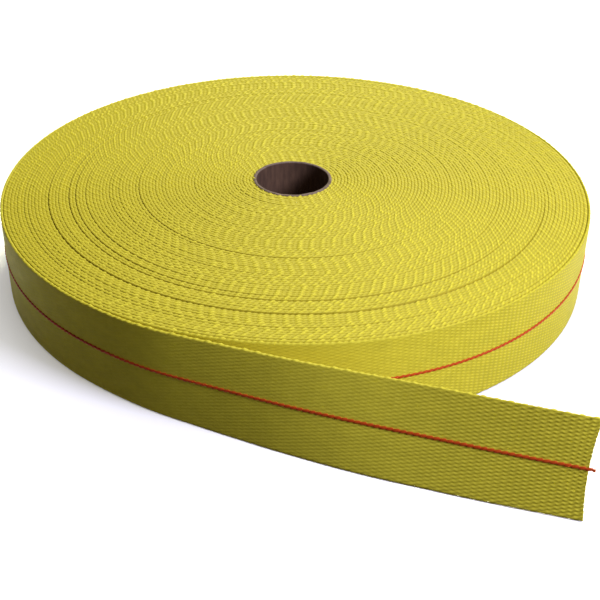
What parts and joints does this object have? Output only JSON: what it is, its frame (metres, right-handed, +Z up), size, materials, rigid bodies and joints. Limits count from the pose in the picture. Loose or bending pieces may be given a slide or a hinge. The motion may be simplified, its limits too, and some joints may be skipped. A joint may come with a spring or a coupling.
{
  "type": "flat web sling webbing roll",
  "caption": "Flat woven sling webbing wound on a cardboard core tube and lying on its side, with a tracer yarn along its face and its free end leaving the roll.",
  "frame": {"origin": "middle of the footprint, on the surface that the roll lies on", "axes": "+Z up along the roll's axis; +X to the right and +Y away, seen from the side where the free end is"},
  "size_m": [0.353, 0.42, 0.0508],
  "materials": {
    "webbing": "satin",
    "tracer": "satin",
    "core": "matte"
  },
  "bodies": {
    "roll": {"core_tube": "core", "wound_web_inner": "webbing", "wound_web_middle": "webbing", "wound_web_outer": "webbing", "tracer_wound": "tracer"},
    "tail_1": {"tail_web_1": "webbing", "tail_tracer_1": "tracer"},
    "tail_2": {"tail_web_2": "webbing", "tail_tracer_2": "tracer"},
    "tail_3": {"tail_web_3": "webbing", "tail_tracer_3": "tracer"},
    "tail_4": {"tail_web_4": "webbing", "tail_tracer_4": "tracer"},
    "tail_5": {"tail_web_5": "webbing", "tail_tracer_5": "tracer"},
    "tail_6": {"tail_web_6": "webbing", "tail_tracer_6": "tracer"}
  },
  "joints": [
    {"name": "tail_swing", "type": "hinge", "parent": "roll", "child": "tail_1", "pos_m": [-0.06046, -0.13402, 0], "axis": [0, 0, 1], "range_deg": [-25, 3]},
    {"name": "tail_curl_1", "type": "hinge", "parent": "tail_1", "child": "tail_2", "pos_m": [-0.02899, -0.14696, 0], "axis": [0, 0, 1], "range_deg": [-12, 9]},
    {"name": "tail_curl_2", "type": "hinge", "parent": "tail_2", "child": "tail_3", "pos_m": [0.0027, -0.15929, 0], "axis": [0, 0, 1], "range_deg": [-12, 9]},
    {"name": "tail_curl_3", "type": "hinge", "parent": "tail_3", "child": "tail_4", "pos_m": [0.03462, -0.17101, 0], "axis": [0, 0, 1], "range_deg": [-12, 9]},
    {"name": "tail_curl_4", "type": "hinge", "parent": "tail_4", "child": "tail_5", "pos_m": [0.06676, -0.18211, 0], "axis": [0, 0, 1], "range_deg": [-12, 9]},
    {"name": "tail_curl_5", "type": "hinge", "parent": "tail_5", "child": "tail_6", "pos_m": [0.09912, -0.19261, 0], "axis": [0, 0, 1], "range_deg": [-12, 9]}
  ],
  "couplings": [
    {"joint": "tail_curl_2", "follows": "tail_curl_1", "ratio": 1},
    {"joint": "tail_curl_3", "follows": "tail_curl_1", "ratio": 1},
    {"joint": "tail_curl_4", "follows": "tail_curl_1", "ratio": 1},
    {"joint": "tail_curl_5", "follows": "tail_curl_1", "ratio": 1}
  ]
}
